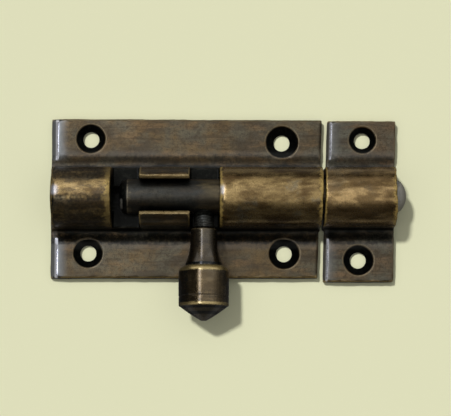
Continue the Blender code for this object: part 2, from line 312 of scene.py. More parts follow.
def openness(mesh, tree, rays, reach):
    """For each point, the share of directions about its normal that leave freely."""
    lift, widest = 0.06 * MM, 0.98
    points = coordinates(mesh)
    facing = normals(mesh)
    count = len(points)
    free = np.zeros(count)
    starts = points + facing * lift
    for _ in range(rays):
        directions = rng.normal(size=(count, 3))
        directions /= np.linalg.norm(directions, axis=1, keepdims=True)
        directions = directions * widest + facing
        directions /= np.linalg.norm(directions, axis=1, keepdims=True)
        for index in range(count):
            hit = tree.ray_cast(starts[index], directions[index], reach)
            if hit[0] is None:
                free[index] += 1
    return averaged(free / rays, edge_ends(mesh), 10)


def bulge_of(mesh):
    """How far each point stands out from its surroundings: edges are positive, creases negative."""
    ends = edge_ends(mesh)
    points = coordinates(mesh)
    out = ((points - averaged(points, ends, 10)) * normals(mesh)).sum(1)
    return averaged(out, ends, 2)


def add_wear(mesh, tree, rays=5, reach=7 * MM, **zones):
    """Sets the attributes that the material reads: worn edges, creases, closed-in grime, and the
    piece's own zones. Returns how worn each point's edge is."""
    bulge = bulge_of(mesh)
    wear = smoothstep(*WORN_BULGE, bulge)
    float_attribute(mesh, "wear", wear)
    float_attribute(mesh, "crease", smoothstep(*CREASE_DEPTH, -bulge))
    float_attribute(mesh, "grime", np.clip(1 - openness(mesh, tree, rays, reach), 0, 1))
    for name in ZONES:
        float_attribute(mesh, name, zones.get(name, 0.0))
    return wear


def nibble(mesh, wear, depth, size, seed):
    """Wears the edges back unevenly, inwards only."""
    points = coordinates(mesh)
    notch = np.clip(0.5 + wave_noise(points, size, seed), 0, 1.4)
    points -= normals(mesh) * (wear * notch * depth)[:, None]
    set_coordinates(mesh, points)


def undulate(mesh, depth, size, seed):
    """Leaves the surface slightly uneven, as filed and hand-polished brass is, inwards only."""
    points = coordinates(mesh)
    hollow = np.clip(0.5 + 0.5 * wave_noise(points, size, seed, layers=2), 0, 1) * depth
    points -= normals(mesh) * hollow[:, None]
    set_coordinates(mesh, points)


def add_piece(name, mesh, material, body, node):
    mesh.name = name
    mesh.materials.clear()
    mesh.materials.append(material)
    mesh.shade_smooth()
    piece = new_object(name, mesh)
    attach(piece, body)
    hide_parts(node)
    return piece


# ---------------------------------------------------------------- materials


class Nodes:
    """Short calls for building a material's nodes."""

    def __init__(self, name):
        self.material = bpy.data.materials.new(name)
        self.material.use_nodes = True
        self.tree = self.material.node_tree
        self.shader = self.tree.nodes["Principled BSDF"]
        self.place = self.tree.nodes.new("ShaderNodeTexCoord").outputs["Object"]

    def link(self, source, target):
        self.tree.links.new(source, target)

    def mapped(self, scale):
        node = self.tree.nodes.new("ShaderNodeMapping")
        node.inputs["Scale"].default_value = scale
        self.link(self.place, node.inputs["Vector"])
        return node.outputs["Vector"]

    def noise(self, scale, detail, roughness):
        """Noise of that many cells to the metre, which may differ along X, Y and Z."""
        stretched = isinstance(scale, tuple)
        node = self.tree.nodes.new("ShaderNodeTexNoise")
        node.inputs["Scale"].default_value = 1.0 if stretched else scale
        node.inputs["Detail"].default_value = detail
        node.inputs["Roughness"].default_value = roughness
        self.link(self.mapped(scale) if stretched else self.place, node.inputs["Vector"])
        return node.outputs["Fac"]

    def attribute(self, name):
        node = self.tree.nodes.new("ShaderNodeAttribute")
        node.attribute_name = name
        return node.outputs["Fac"]

    def value(self, operation, first, second, clamp=False):
        node = self.tree.nodes.new("ShaderNodeMath")
        node.operation = operation
        node.use_clamp = clamp
        for socket, given in zip(node.inputs, (first, second)):
            if isinstance(given, (int, float)):
                socket.default_value = given
            else:
                self.link(given, socket)
        return node.outputs[0]

    def times(self, first, second):
        return self.value("MULTIPLY", first, second)

    def plus(self, *terms):
        total = terms[0]
        for term in terms[1:]:
            total = self.value("ADD", total, term)
        return total

    def less(self, first, second, clamp=False):
        return self.value("SUBTRACT", first, second, clamp)

    def between(self, source, low, high, to_low=0.0, to_high=1.0):
        """to_low where the source is at low or under, to_high at high or over."""
        node = self.tree.nodes.new("ShaderNodeMapRange")
        node.interpolation_type = "SMOOTHSTEP"
        self.link(source, node.inputs["Value"])
        node.inputs["From Min"].default_value = low
        node.inputs["From Max"].default_value = high
        node.inputs["To Min"].default_value = to_low
        node.inputs["To Max"].default_value = to_high
        return node.outputs["Result"]

    def mix(self, factor, first, second):
        node = self.tree.nodes.new("ShaderNodeMix")
        node.data_type = "RGBA"
        self.link(factor, node.inputs["Factor"])
        sockets = {socket.name: socket for socket in node.inputs if socket.type == "RGBA"}
        for name, given in (("A", first), ("B", second)):
            if isinstance(given, tuple):
                sockets[name].default_value = (*given, 1.0)
            else:
                self.link(given, sockets[name])
        return next(socket for socket in node.outputs if socket.type == "RGBA")

    def bump(self, height, strength, distance, onto=None):
        node = self.tree.nodes.new("ShaderNodeBump")
        node.inputs["Strength"].default_value = strength
        node.inputs["Distance"].default_value = distance
        self.link(height, node.inputs["Height"])
        if onto is not None:
            self.link(onto, node.inputs["Normal"])
        return node.outputs["Normal"]


class AntiqueBrass(Nodes):
    """Patinated brass: a brown and grey film in blotches, olive gold where it is handled,
    bright gold on worn edges, black where grime sits and where shade is painted, and a painted
    highlight colour on polished spots."""

    def __init__(self, name, look):
        super().__init__(name)
        self.look = look
        self.zone = {zone: self.attribute(zone) for zone in ("wear", "crease", "grime", *ZONES)}
        self.blotches = self.noise(170, detail=5, roughness=0.62)
        self.mottle = self.noise(1700, detail=4, roughness=0.65)
        self.grain = self.noise(6000, detail=2, roughness=0.7)
        self.tone = self.noise(look["tone"], detail=3, roughness=0.6)
        self.streaks = self.noise(look["streak"], detail=5, roughness=0.62)
        self.brushed = self.noise(look["brush"], detail=3, roughness=0.6)
        self.black = self.blackness()
        self.gold = self.goldness()
        # polished lowers the roughness and also mixes in a painted highlight colour.
        self.polished = self.between(self.zone["polish_and_glint"], 0.1, 0.7)
        self.link(self.colour(), self.shader.inputs["Base Color"])
        self.link(self.roughness(), self.shader.inputs["Roughness"])
        self.link(self.metalness(), self.shader.inputs["Metallic"])
        self.link(self.surface(), self.shader.inputs["Normal"])
        self.shader.inputs["Coat Weight"].default_value = look["coat"]
        self.shader.inputs["Coat Roughness"].default_value = 0.14

    def layer(self, colour, source, low, high, most, tone):
        """colour under a layer of one of the look's tones, fullest where the source is high."""
        return self.mix(self.between(source, low, high, 0.0, most), colour, self.look[tone])

    def film(self):
        """The patina."""
        look = self.look
        colour = self.mix(self.between(self.blotches, 0.38, 0.62), look["grey"], look["brown"])
        colour = self.layer(colour, self.tone, 0.4, 0.66, 0.75, "dusk")
        colour = self.layer(colour, self.streaks, 0.5, 0.7, 0.7, "warm")
        colour = self.layer(colour, self.brushed, 0.5, 0.66, look["brush_dark"], "dark")
        return self.layer(colour, self.mottle, 0.47, 0.63, look["speckle"], "dark")

    def rubbed(self):
        """The metal where handling has gone through the patina."""
        look = self.look
        colour = self.mix(self.between(self.streaks, 0.36, 0.6), look["olive"], look["bright"])
        colour = self.layer(colour, self.blotches, 0.52, 0.64, look["silver_share"], "silver")
        colour = self.layer(colour, self.tone, 0.46, 0.6, 0.72, "umber")
        return self.layer(colour, self.mottle, 0.5, 0.72, 0.36, "umber")

    def blackness(self):
        """Where grime sits in corners, and the piece's own black places, most of them painted
        shade.
        """
        look, zone = self.look, self.zone
        dirty = self.plus(
            self.times(zone["grime"], look["grime"]),
            self.times(zone["crease"], look["crease"]),
            self.between(self.blotches, 0.3, 0.7, -0.1, 0.1),
        )
        sunk = self.plus(zone["pit"], self.between(self.mottle, 0.3, 0.7, -0.12, 0.12))
        return self.value(
            "MAXIMUM", self.between(dirty, 0.42, 0.9), self.between(sunk, 0.2, 0.8)
        )

    def goldness(self):
        """Where an edge is worn to gold, less so in black places and on metal left alone."""
        zone = self.zone
        worn = self.plus(
            self.value("MAXIMUM", zone["wear"], zone["rim"]),
            self.between(self.mottle, 0.3, 0.7, -0.3, 0.22),
        )
        most = self.between(zone["handled"], 0.1, 0.9, self.look["gilt"], 0.9)
        gold = self.times(self.between(worn, 0.35, 0.85), most)
        return self.times(gold, self.less(1.0, self.times(zone["pit"], 0.9)))

    def colour(self):
        look, handled = self.look, self.zone["handled"]
        reach = self.plus(handled, self.between(self.streaks, 0.35, 0.65, -0.13, 0.12))
        colour = self.mix(self.between(reach, 0.3, 0.7), self.film(), self.rubbed())
        grains = self.between(self.grain, 0.48, 0.66, 0.0, 0.7)
        grains = self.less(grains, self.times(handled, 0.35), clamp=True)
        colour = self.mix(grains, colour, look["dark"])
        # The pale colour is a painted sheen and painted light.
        colour = self.mix(self.zone["pale"], colour, look["pale"])
        soot = self.mix(self.between(self.mottle, 0.48, 0.7, 0.0, 0.6), look["black"], look["soot"])
        # The black places are grime and painted shade.
        colour = self.mix(self.black, colour, soot)
        gilding = self.mix(self.between(handled, 0.1, 0.7), look["tan"], look["gold"])
        colour = self.mix(self.gold, colour, gilding)
        # Polished spots also take a painted highlight colour.
        return self.mix(self.polished, colour, look["polish_and_glint"])

    def roughness(self):
        base, polished_base = self.look["rough"], 0.17
        rough = self.plus(
            self.between(self.mottle, 0.3, 0.7, base - 0.05, base + 0.07),
            self.times(self.black, 0.22),
            self.times(self.zone["handled"], self.look["smooth"]),
        )
        return self.less(rough, self.times(self.polished, base - polished_base), clamp=True)

    def metalness(self):
        """A little less than 1, so that the tarnish takes some of the diffuse light."""
        tarnish = self.plus(self.times(self.zone["dull"], 0.55), self.times(self.gold, 0.42), 0.035)
        return self.less(1.0, tarnish, clamp=True)

    def surface(self):
        """The normal of brushed, grained and dented metal."""
        look = self.look
        height = self.plus(self.times(self.brushed, 0.5), self.times(self.grain, 0.5))
        normal = self.bump(height, look["bump"], 0.02 * MM)
        return self.bump(self.mottle, look["dents"], 0.05 * MM, onto=normal)


# Colours are linear RGB. Brush, tone and streak are noise cells to the metre along X, Y and Z.
# Gilt is how golden a worn edge is where the metal isn't handled, and smooth is added to the
# roughness where it is.
# The whitish highlight colour is a painted highlight for polished spots, the pale colour is a
# painted sheen, and black and soot also colour the painted shade.
CASE_LOOK = {
    "brush": (120, 1900, 1900),
    "tone": (110, 300, 300),
    "streak": (170, 470, 470),
    "grey": (0.092, 0.081, 0.053),
    "brown": (0.113, 0.075, 0.033),
    "warm": (0.16, 0.1, 0.045),
    "olive": (0.115, 0.073, 0.028),
    "bright": (0.3, 0.208, 0.086),
    "silver": (0.14, 0.145, 0.115),
    "umber": (0.07, 0.04, 0.014),
    "gold": (0.32, 0.22, 0.06),
    "tan": (0.16, 0.12, 0.06),
    "pale": (0.125, 0.128, 0.122),
    "dusk": (0.046, 0.036, 0.024),
    "dark": (0.034, 0.026, 0.016),
    "black": (0.004, 0.0042, 0.003),
    "soot": (0.024, 0.024, 0.018),
    "polish_and_glint": (0.48, 0.48, 0.5),
    "coat": 0.08,
    "silver_share": 0.45,
    "brush_dark": 0.42,
    "speckle": 0.44,
    "grime": 1.1,
    "crease": 0.4,
    "gilt": 0.6,
    "rough": 0.34,
    "smooth": -0.07,
    "bump": 0.25,
    "dents": 0.32,
}
KEEP_LOOK = dict(
    CASE_LOOK,
    grey=(0.089, 0.084, 0.06),
    brown=(0.101, 0.072, 0.04),
    warm=(0.145, 0.091, 0.046),
    silver_share=0.3,
    bright=(0.44, 0.298, 0.132),
    olive=(0.17, 0.11, 0.042),
)
KNOB_LOOK = dict(
    CASE_LOOK,
    brush=(400, 6000, 400),
    streak=(500, 1600, 500),
    grey=(0.078, 0.066, 0.042),
    brown=(0.09, 0.066, 0.034),
    warm=(0.105, 0.076, 0.037),
    olive=(0.105, 0.074, 0.033),
    bright=(0.162, 0.115, 0.055),
    silver=(0.12, 0.1, 0.062),
    umber=(0.07, 0.046, 0.018),
    gold=(0.4, 0.3, 0.12),
    coat=0.55,
    rough=0.3,
    smooth=-0.1,
    bump=0.08,
    dents=0.05,
    grime=0.8,
)
BOLT_LOOK = dict(
    CASE_LOOK,
    brush=(1800, 260, 260),
    grey=(0.036, 0.037, 0.033),
    brown=(0.044, 0.041, 0.032),
    warm=(0.06, 0.052, 0.037),
    olive=(0.08, 0.064, 0.036),
    bright=(0.14, 0.11, 0.062),
    silver=(0.1, 0.1, 0.09),
    umber=(0.04, 0.034, 0.024),
    gold=(0.16, 0.13, 0.08),
    tan=(0.12, 0.1, 0.07),
    dark=(0.018, 0.018, 0.015),
    polish_and_glint=(0.19, 0.185, 0.17),
    pale=(0.3, 0.285, 0.25),
    coat=0.0,
    brush_dark=0.15,
    rough=0.38,
)
STUD_LOOK = dict(
    BOLT_LOOK,
    brush=(900, 900, 900),
    grey=(0.05, 0.052, 0.047),
    brown=(0.06, 0.058, 0.05),
    warm=(0.11, 0.11, 0.095),
    gold=(0.16, 0.16, 0.14),
    tan=(0.14, 0.14, 0.12),
    speckle=0.8,
    rough=0.45,
    bump=0.5,
    dents=0.6,
)


# ---------------------------------------------------------------- the case and the keep

# Bands over a section: from, to, and the blur outside them.
FLANGE = mm(7.6, 20, 0.6)
SLOT_EDGE_HEIGHT = mm(9.9, 11, 0.2)
SLOT_EDGE_SIDE = mm(2.6, 3.5, 0.2)
# The coves' black bands are painted shade. The left barrel's sides are painted darker outside their
# lit band, and a highlight is painted on the lips inside theirs.
NEAR_COVE_BLACK = mm(5.3, 8.1, 1.0)
FAR_COVE_BLACK = mm(5.3, 7.9, 1.2)
NEAR_COVE_TARNISH = mm(8.3, 9.0, 0.6)
FAR_COVE_TARNISH = mm(5.6, 8.4, 0.9)
FAR_COVE_FLECKS = mm(6.3, 6.6, 0.25)
LEFT_BARREL_LIT = mm(0.7, 1.9, 1.1)
LIP_LIT = mm(0.4, 1.1, 1.5)
# Where the flecks start and end along X.
FLECKS_ALONG = mm(-22, -15)

# A stretch of barrel along X, how much of its patina is rubbed through, and how wide a band is
# rubbed gold at its left and its right end.
Barrel = namedtuple("Barrel", "start end rubbed left_band right_band")
# A screw hole's middle and the diameter of its countersink.
Hole = namedtuple("Hole", "x y sink")
# The top of the plate's left bevel: where it crosses Y = 0, its slope, and how bright the highlight
# painted along it is.
Crest = namedtuple("Crest", "x slope share")
# A barrel end that is rounded further, so that it catches the light, and how far in. A highlight is
# painted on it as well.
Lip = namedtuple("Lip", "x reach")
# A plate with barrels. Gates are stretches along X, and wavy is for a hand-filed outer end.
Section = namedtuple("Section", "node look bore_radius seed barrels holes crest gates lips wavy")

CASE = Section(
    node="case",
    look=CASE_LOOK,
    bore_radius=3.4 * MM,
    seed=11,
    barrels=(
        Barrel(CASE_BARREL_LEFT, LEFT_GATE[0], 0.6, *mm(0.5, 1.6)),
        Barrel(LEFT_GATE[1], RIGHT_GATE[0], 0.36, *mm(0.3, 0.3)),
        Barrel(RIGHT_GATE[1], CASE_BARREL_RIGHT, 1.0, *mm(0.7, 1.0)),
    ),
    holes=(
        Hole(*mm(-17.65, 11.25, 5.45)),
        Hole(*mm(-18.05, -10.05, 5.5)),
        Hole(*mm(17.95, 10.6, 6.1)),
        Hole(*mm(18.3, -10.2, 5.75)),
    ),
    crest=Crest(-23.9 * MM, 0.0, 1.0),
    gates=(LEFT_GATE, RIGHT_GATE),
    lips=(Lip(CASE_BARREL_LEFT, 2.4 * MM), Lip(RIGHT_GATE[1], 1.5 * MM)),
    wavy=False,
)
KEEP = Section(
    node="keep",
    look=KEEP_LOOK,
    bore_radius=3.5 * MM,
    seed=31,
    barrels=(Barrel(*KEEP_BARREL, 0.9, *mm(0.35, 1.0)),),
    holes=(Hole(*mm(32.95, 11.0, 5.1)), Hole(*mm(32.05, -11.4, 5.65))),
    crest=Crest(26.62 * MM, KEEP_END_SLOPE, 0.45),
    gates=(),
    lips=(),
    wavy=True,
)


def section_places(points, section):
    """Each point's place on a section, and how far it belongs to each part of it."""
    x, y, z = points.T
    at = SimpleNamespace(points=points, x=x, y=y, z=z, side=np.abs(y))
    at.from_axis = np.hypot(y, z - BOLT_AXIS_Z)
    at.from_crest = x - section.crest.x - section.crest.slope * y
    at.skin = smoothstep(BARREL_RADIUS - 0.9 * MM, BARREL_RADIUS - 0.4 * MM, at.from_axis)
    at.raised = smoothstep(3.4 * MM, 6.0 * MM, z)
    at.on_plate = 1 - smoothstep(PLATE_TOP + 0.2 * MM, PLATE_TOP + 0.6 * MM, z)
    at.uneven = 1 + 0.3 * wave_noise(points, 3.0 * MM, 5)
    at.far_edge = 1 - smoothstep(0.12 * MM, 0.42 * MM * at.uneven, y.max() - y)
    at.far_edge *= at.on_plate
    at.near_edge = 1 - smoothstep(0.25 * MM * at.uneven, 1.1 * MM * at.uneven, y - y.min())
    return at


def rubbed_barrels(at, barrels):
    """The gold bands at the barrels' ends, and the patina rubbed through between them."""
    band_edge, fading = 1.15, 1.3
    rim = np.zeros(len(at.x))
    handled = np.zeros(len(at.x))
    for barrel in barrels:
        inside = near(at.x, barrel.start, barrel.end, 0.3 * MM)
        for end, band in ((barrel.start, barrel.left_band), (barrel.end, barrel.right_band)):
            from_end = np.abs(at.x - end) / (fading * band * at.uneven)
            rim = highest(rim, np.clip(band_edge - from_end, 0, 1) * inside)
        handled = highest(handled, inside * barrel.rubbed)
    return rim * (at.skin * at.raised), handled * at.raised


def slot_edges(at):
    """The two long edges between the gates, beside the bolt."""
    between_gates = near(at.x, LEFT_GATE[1], RIGHT_GATE[0], 0.1 * MM)
    edges = near(at.z, *SLOT_EDGE_HEIGHT) * near(at.side, *SLOT_EDGE_SIDE)
    return edges * between_gates


def hole_rings_and_black(at, holes):
    """The worn ring around each countersink, and the black inside it."""
    ring = np.zeros(len(at.x))
    black = np.zeros(len(at.x))
    for hole in holes:
        from_sink = np.hypot(at.x - hole.x, at.y - hole.y)
        radius = hole.sink / 2
        inside = 1 - smoothstep(radius - 0.28 * MM, radius - 0.02 * MM, from_sink)
        around = near(from_sink, radius + 0.04 * MM, radius + 0.18 * MM, 0.12 * MM)
        ring = highest(ring, around)
        black = highest(black, inside)
    on_top = at.on_plate * (at.z > PLATE_TOP - 0.5 * MM)
    return ring * on_top * 0.85 * at.uneven, black * at.on_plate


def gate_black(at, gates):
    """Painted shade: the black floor of each gate, under the bolt."""
    black = np.zeros(len(at.x))
    under_bolt = near(at.side, 0, BARREL_RADIUS + 0.4 * MM, 0.5 * MM) * (at.z < GATE_DARK_BELOW)
    for start, end in gates:
        black = highest(black, near(at.x, start, end, 0.5 * MM) * under_bolt)
    return black


def shaded_black(at):
    """Painted shade along the barrels: both coves, the left barrel's sides outside their lit band,
    and the bore.
    """
    uneven = 0.62 + 0.12 * wave_noise(at.points, 4 * MM, 9)
    near_cove = near(-at.y, *NEAR_COVE_BLACK) * uneven
    far_cove = near(at.y, *FAR_COVE_BLACK) * 0.4
    left_barrel = 1 - smoothstep(LEFT_GATE[0], LEFT_GATE[0] + 0.1 * MM, at.x)
    left_barrel = left_barrel * (at.z > GATE_DARK_BELOW)
    left_sides = left_barrel * 0.5 * (1 - near(at.y, *LEFT_BARREL_LIT))
    bore = 1 - smoothstep(BARREL_RADIUS - 1.6 * MM, BARREL_RADIUS - 1.0 * MM, at.from_axis)
    return highest(highest(near_cove, far_cove) * at.on_plate, left_sides, bore)


def crest_painted_glint(at, crest):
    """A painted highlight: the bright line along the top of the left bevel, on both flanges."""
    line = 1 - smoothstep(0.1 * MM, 0.42 * MM, np.abs(at.from_crest))
    on_flange = near(at.side, *FLANGE) * (at.z > PLATE_TOP - 0.45 * MM)
    return line * (crest.share * on_flange)


# A painted highlight on the rounded top of some barrel ends.
def lip_painted_glint(at, lips):
    polish_and_glint = np.zeros(len(at.x))
    lit = near(at.y, *LIP_LIT)
    for lip in lips:
        glint = near(at.x, lip.x, lip.x + 0.35 * lip.reach, 0.65 * lip.reach) * lit
        polish_and_glint = highest(polish_and_glint, 0.36 * glint * at.raised)
    return polish_and_glint


def bevel_pale(at, crest):
    """A painted sheen: the left bevel's paler slope beside its crest's highlight, fading out behind
    its crest.
    """
    start, end, _ = FLANGE
    slope = crest.share * (1 - smoothstep(0.2 * MM, 2.4 * MM, at.from_crest)) * at.on_plate
    return slope * near(at.side, start, end, 0.8 * MM)


def tarnished(at):
    """Where the metal takes more diffuse light: both coves, the left bevel and the far edge."""
    far_cove = near(at.y, *FAR_COVE_TARNISH)
    near_cove = near(-at.y, *NEAR_COVE_TARNISH)
    coves = 0.8 * np.where(at.y > 0, far_cove, near_cove)
    bevel = 1 - smoothstep(-0.1 * MM, 0.35 * MM, at.from_crest)
    return highest(highest(coves, bevel) * at.on_plate, 0.6 * at.far_edge)


def cove_flecks(at):
    """A broken line of wear in the far cove, beside the left barrel."""
    start, end = FLECKS_ALONG
    line = near(at.y, *FAR_COVE_FLECKS) * (at.x > start) * (at.x < end)
    return line * np.clip(0.4 + wave_noise(at.points, 1.4 * MM, 21), 0, 1)


def section_zones(points, section):
    """Each of the ZONES on a section."""
    at = section_places(points, section)
    bands, rubbed = rubbed_barrels(at, section.barrels)
    rings, sinks = hole_rings_and_black(at, section.holes)
    # crest is the bevel's painted highlight. It clears the worn gold beneath it.
    crest = crest_painted_glint(at, section.crest)
    filed = highest(at.near_edge, 0.9 * at.far_edge)
    rim = highest(bands, slot_edges(at), 0.75 * at.far_edge, rings)
    rim = rim * (1 - np.clip(1.4 * crest, 0, 1))
    return {
        "rim": highest(rim, cove_flecks(at)),
        "handled": highest(rubbed, 0.42 * filed * at.on_plate),
        "pit": highest(sinks, gate_black(at, section.gates), shaded_black(at)),
        "polish_and_glint": highest(crest, lip_painted_glint(at, section.lips)),
        "dull": tarnished(at),
        "pale": bevel_pale(at, section.crest),
    }


def soften_crest(points, ends, crest):
    """Rounds the crest of a plate's left bevel off further than its other edges."""
    x, y, z = points.T
    from_crest = np.abs(x - crest.x - crest.slope * y)
    share = 1 - smoothstep(0.6 * MM, 1.3 * MM, from_crest)
    share *= (z > PLATE_TOP - 0.6 * MM) & (np.abs(y) > 7.4 * MM)
    return points + (averaged(points, ends, 14) - points) * share[:, None]


def soften_lips(points, ends, lips):
    """Rounds off the top of some barrel ends further."""
    x, y, z = points.T
    outer = (np.hypot(y, z - BOLT_AXIS_Z) > BARREL_RADIUS - 0.5 * MM) & (z > 8 * MM)
    inward = averaged(points, ends, 34) - points
    inward[:, 0] = 0
    for lip in lips:
        from_lip = np.abs(x - lip.x)
        share = (1 - smoothstep(0.4 * lip.reach, lip.reach, from_lip)) * outer
        points = points + inward * share[:, None]
    return points


def wave_end(points, end):
    """Leaves a barrel's outer end wavy where it was filed by hand, inwards only."""
    pitch, depth = 1.55 * MM, 0.28 * MM
    x, y, z = points.T
    wave = 0.5 + 0.5 * np.sin(y / pitch + 0.6) + 0.35 * wave_noise(points, 2 * MM, 3)
    share = smoothstep(end - 0.9 * MM, end, x) * smoothstep(3 * MM, 5 * MM, z)
    points[:, 0] -= np.clip(wave, 0, 1.3) * share * depth


def add_section_piece(section):
    node = section.node
    mesh, tree = remeshed(node, SECTION_VOXEL)
    points = coordinates(mesh)
    onto_cylinder(points, BARREL_RADIUS, above=0.0)
    onto_cylinder(points, section.bore_radius)
    ends = edge_ends(mesh)
    points = averaged(points, ends, 2)
    points = soften_crest(points, ends, section.crest)
    points = soften_lips(points, ends, section.lips)
    if section.wavy:
        wave_end(points, section.barrels[-1].end)
    set_coordinates(mesh, points)
    wear = add_wear(mesh, tree, **section_zones(points, section))
    nibble(mesh, wear, NIBBLE_DEPTH, NIBBLE_SIZE, section.seed)
    undulate(mesh, HOLLOW_DEPTH, HOLLOW_SIZE, section.seed + 1)
    undulate(mesh, DENT_DEPTH, DENT_SIZE, section.seed + 2)
    brass = AntiqueBrass(node + "_brass", section.look).material
    return add_piece("worn_" + node, mesh, brass, node, node)


# ---------------------------------------------------------------- the bolt and its knob

BOLT_TAIL, BOLT_TIP = (corner.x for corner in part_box("bolt_rod"))
TAIL_ROUND = 1.5 * MM
TIP_ROUND = 2.4 * MM
# Along X: where the rubbed stretch begins and is full, where it stops, and where the paler tip,
# partly painted light, begins and is full. Then the band across the tail where a glint is painted:
# from, to, and the blur outside.
BOLT_RUBBED_FROM = mm(-1.0, 6.0)
BOLT_RUBBED_TO = 26 * MM
BOLT_PALE_FROM = mm(36, 38.5)
TAIL_GLINT_SIDE = mm(-2.2, -0.9, 0.5)

# The knob's radii and depths, then its heights along its own axis from the bolt's axis.
STEM_RADIUS = 2.4 * MM
STEM_FLARE = 3.4 * MM
HEAD_CORNER = 1.1 * MM
GROOVE_DEPTH = 0.13 * MM
GROOVE_HALF_WIDTH = 0.14 * MM
HEAD_CHAMFER = 0.24 * MM
CONE_SWELL = 0.12 * MM
CONE_TIP = 0.5 * MM
KNOB_START = 6.0 * MM
STEM_TOP = 12.4 * MM
HEAD_START = 12.85 * MM
HEAD_GROOVE = 18.4 * MM
HEAD_END = 20.2 * MM
CONE_END = 22.75 * MM
KNOB_END = 22.8 * MM
# Where the head darkens towards its end, and where shade is painted on its sides: along the axis,
# and to each side of it.
HEAD_DARKENS = mm(15.5, 18.5)
HEAD_DARK_LEFT = mm(1.8, 3.1)
HEAD_DARK_RIGHT = mm(3.0, 3.7)
# The dark rings on the cone, from the head's end.
CONE_RINGS = (mm(0.05, 0.35), mm(1.05, 1.4))

STUD_RADIUS = 1.9 * MM
STUD_ENDS = mm(1.3, 5.7)
THREAD_FROM_RADIUS = 1.5 * MM
THREAD_DEPTH = 0.11 * MM
THREAD_PITCH = 0.5 * MM


def along_x():
    return Matrix.Translation((0, 0, BOLT_AXIS_Z)) @ Matrix.Rotation(math.radians(90), 4, "Y")


def knob_axis():
    outward = Vector((0, -math.cos(KNOB_RISE), math.sin(KNOB_RISE)))
    turn = Vector((0, 0, 1)).rotation_difference(outward).to_matrix().to_4x4()
    return Matrix.Translation((KNOB_X, 0, BOLT_AXIS_Z)) @ turn


def bolt_profile(steps=14):
    """The tail, rounded out to the full radius, then the domed tip back to the axis."""
    tail_centre = (BOLT_RADIUS - TAIL_ROUND, BOLT_TAIL + TAIL_ROUND)
    profile = [(0, BOLT_TAIL), *arc(tail_centre, TAIL_ROUND, -90, 0, steps)[1:]]
    for step in range(steps, -1, -1):
        angle = math.pi / 2 * step / steps
        at_x = BOLT_TIP - TIP_ROUND * (1 - math.cos(angle))
        profile.append((BOLT_RADIUS * math.sin(angle), at_x))
    return profile


def add_bolt():
    mesh = lathe("bolt", bolt_profile(), 140, along_x(), spacing=0.16 * MM)
    x, y, z = coordinates(mesh).T
    shoulder = BOLT_TAIL + TAIL_ROUND
    rubbed = smoothstep(*BOLT_RUBBED_FROM, x) * (x < BOLT_RUBBED_TO) * 0.8
    shoulder_wear = near(x, shoulder, shoulder + 0.5 * MM, 0.8 * MM) * 0.45
    # The tip is paler and less metallic. The paler colour is partly painted light.
    tip = smoothstep(*BOLT_PALE_FROM, x)
    # A painted highlight on the tail's rounded end.
    glint = near(x, BOLT_TAIL + 0.25 * MM, BOLT_TAIL + 0.5 * MM, 0.25 * MM)
    glint *= 0.55 * near(y, *TAIL_GLINT_SIDE) * (z > BOLT_AXIS_Z)
    # The tail's rounded end is painted black as shade, except where the glint is painted.
    tail = near(x, BOLT_TAIL, shoulder - 0.25 * MM, 0.2 * MM)
    add_wear(
        mesh,
        cad_tree("case"),
        rays=3,
        handled=highest(rubbed, shoulder_wear),
        rim=near(x, shoulder, shoulder + 0.1 * MM, 0.15 * MM) * 0.8,
        pit=tail * (1 - np.clip(1.8 * glint, 0, 1)),
        pale=highest(tip, glint),
        dull=highest(tip, glint),
    )
    metal = AntiqueBrass("bolt_metal", BOLT_LOOK).material
    return add_piece("worn_bolt", mesh, metal, "bolt", "bolt_rod")


def knob_profile():
    """The flared stem, the drum-shaped head with its turned groove, and the low cone."""
    head = KNOB_HEAD_RADIUS
    edge = 0.2 * MM
    profile = [(0, KNOB_START), (STEM_RADIUS - edge, KNOB_START), (STEM_RADIUS, KNOB_START + edge)]
    steps = 26
    for step in range(1, steps + 1):
        along = step / steps
        height = KNOB_START + edge + (STEM_TOP - KNOB_START - edge) * along
        profile.append((STEM_RADIUS + (STEM_FLARE - STEM_RADIUS) * along**2.6, height))
    profile.append((STEM_FLARE + 0.05 * MM, HEAD_START - 0.02 * MM))
    profile += arc((head - HEAD_CORNER, HEAD_START + HEAD_CORNER), HEAD_CORNER, -90, 0, 12)
    profile += [
        (head - 0.01 * MM, HEAD_GROOVE - GROOVE_HALF_WIDTH),
        (head - GROOVE_DEPTH, HEAD_GROOVE),
        (head - 0.03 * MM, HEAD_GROOVE + GROOVE_HALF_WIDTH),
        (head - 0.04 * MM, HEAD_END - 0.2 * MM),
        (head - 0.1 * MM, HEAD_END - 0.05 * MM),
        (head - HEAD_CHAMFER, HEAD_END),
    ]
    cone_steps = 12
    for step in range(1, cone_steps + 1):
        along = step / cone_steps
        radius = (head - HEAD_CHAMFER) + (CONE_TIP - head + HEAD_CHAMFER) * along
        swell = CONE_SWELL * math.sin(math.pi * along)
        profile.append((radius, HEAD_END + (CONE_END - HEAD_END) * along + swell))
    profile.append((0, KNOB_END))
    return profile


